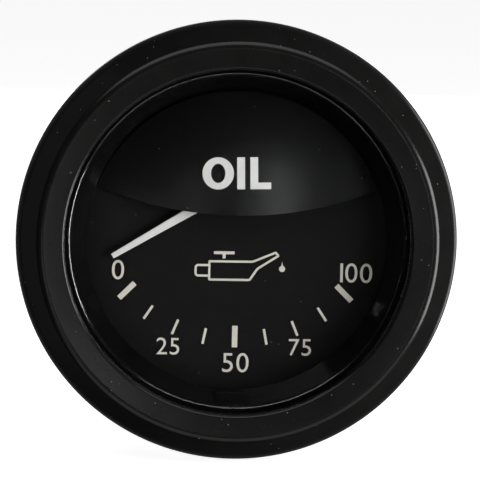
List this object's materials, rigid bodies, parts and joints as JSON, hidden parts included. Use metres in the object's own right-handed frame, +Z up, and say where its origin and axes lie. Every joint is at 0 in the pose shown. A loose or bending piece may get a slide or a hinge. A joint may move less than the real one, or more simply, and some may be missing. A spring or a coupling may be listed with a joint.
{
  "type": "oil pressure gauge",
  "caption": "Round panel-mounted oil pressure gauge with a black dished bezel, hooded dial, white pointer, spring-tube movement, rear inlet, clamp bracket and lamp.",
  "frame": {"origin": "centre of the case, in the plane of the bezel's flat rear face, which is the panel's front face", "axes": "+Y along the case's axis to the rear, away from the reader; +Z up the dial; +X to the reader's right"},
  "size_m": [0.0608, 0.0515, 0.0608],
  "materials": {
    "black_enamel": "satin black stoved enamel",
    "clear_glass": "clear polished glass",
    "black_rubber": "matt rubber",
    "black_plastic": "fine satin moulded plastic",
    "smoke_window": "dark translucent plastic",
    "mark_print": "warm white printed ink",
    "dial_black": "matt black paint",
    "bright_steel": "turned steel",
    "brass": "machined brass",
    "white_plastic": "white moulded plastic",
    "plated_case": "black painted drawn steel",
    "pointer_white": "matt white paint",
    "pointer_black": "black paint",
    "spring_bronze": "phosphor bronze",
    "red_fibre": "vulcanised fibre",
    "zinc_plate": "zinc plated steel",
    "nut_brass": "knurled brass",
    "holder_plastic": "black moulded plastic",
    "lamp_cap": "nickel plate",
    "bulb_clear": "clear blown glass",
    "terminal_brass": "tinned brass"
  },
  "bodies": {
    "gauge": {"bezel": "black_enamel", "glass": "clear_glass", "glass_gasket": "black_rubber", "spacer_ring": "black_plastic", "light_windows": "smoke_window", "dial_hood": "black_plastic", "scale_marks": "mark_print", "dial": "dial_black", "dial_screws": "bright_steel", "stop_pin": "bright_steel", "dial_posts": "brass", "dial_seat_ring": "white_plastic", "case": "plated_case", "hairspring": "spring_bronze", "hairspring_stud": "brass", "movement_front_plate": "brass", "movement_back_plate": "brass", "movement_pillars": "brass", "plate_screws": "bright_steel", "movement_posts": "brass", "post_screws": "bright_steel", "bourdon_tube": "spring_bronze", "socket_block": "brass", "inlet_washer": "red_fibre", "inlet_nut": "brass", "clamp_studs": "zinc_plate"},
    "sector": {"sector_gear": "brass", "sector_arbor": "bright_steel", "sector_pin": "bright_steel"},
    "pointer": {"pinion": "brass", "hairspring_collet": "brass", "pointer_boss": "pointer_black", "pointer_blade": "pointer_white"},
    "tube_tip": {"tip_cap": "brass", "tip_pin": "bright_steel"},
    "link": {"link": "brass"},
    "clamp": {"clamp_bracket": "zinc_plate", "spring_washers": "zinc_plate"},
    "nut_left": {"clamp_nut_left": "nut_brass"},
    "nut_right": {"clamp_nut_right": "nut_brass"},
    "lamp": {"bulb_holder": "holder_plastic", "bulb_cap": "lamp_cap", "bulb_glass": "bulb_clear", "lamp_terminal": "terminal_brass"}
  },
  "joints": [
    {"name": "sector_turn", "type": "hinge", "parent": "gauge", "child": "sector", "pos_m": [0, 0.008, -0.0042], "axis": [0, -1, 0], "range_deg": [-27, 0], "stiffness_Nm_per_rad": 0.01},
    {"name": "pointer_turn", "type": "hinge", "parent": "gauge", "child": "pointer", "pos_m": [0, 0.006, 0.0078], "axis": [0, -1, 0], "range_deg": [0, 108], "deforming": ["hairspring"]},
    {"name": "tube_tip_swing", "type": "hinge", "parent": "gauge", "child": "tube_tip", "pos_m": [-0.01943, 0.009, 0.00683], "axis": [0, -1, 0], "range_deg": [-9.6, 0], "deforming": ["bourdon_tube"]},
    {"name": "link_swing", "type": "hinge", "parent": "sector", "child": "link", "pos_m": [0.00117, 0.01, -0.00906], "axis": [0, -1, 0], "range_deg": [0, 27.5]},
    {"name": "clamp_slide", "type": "slide", "parent": "gauge", "child": "clamp", "axis": [0, 1, 0], "range_m": [-0.0015, 0.0025]},
    {"name": "nut_left_turn", "type": "hinge", "parent": "clamp", "child": "nut_left", "pos_m": [-0.017, 0.039, 0], "axis": [0, 1, 0], "range_deg": [-772, 1286.5]},
    {"name": "nut_right_turn", "type": "hinge", "parent": "clamp", "child": "nut_right", "pos_m": [0.017, 0.039, 0], "axis": [0, 1, 0], "range_deg": [-772, 1286.5]},
    {"name": "lamp_slide", "type": "slide", "parent": "gauge", "child": "lamp", "axis": [0, 1, 0], "range_m": [0, 0.016]}
  ],
  "couplings": [
    {"joint": "pointer_turn", "follows": "sector_turn", "ratio": -4},
    {"joint": "tube_tip_swing", "follows": "sector_turn", "ratio": 0.3518},
    {"joint": "link_swing", "follows": "sector_turn", "ratio": -0.994},
    {"joint": "nut_left_turn", "follows": "clamp_slide", "rad_per_m": 8976},
    {"joint": "nut_right_turn", "follows": "clamp_slide", "rad_per_m": 8976}
  ]
}
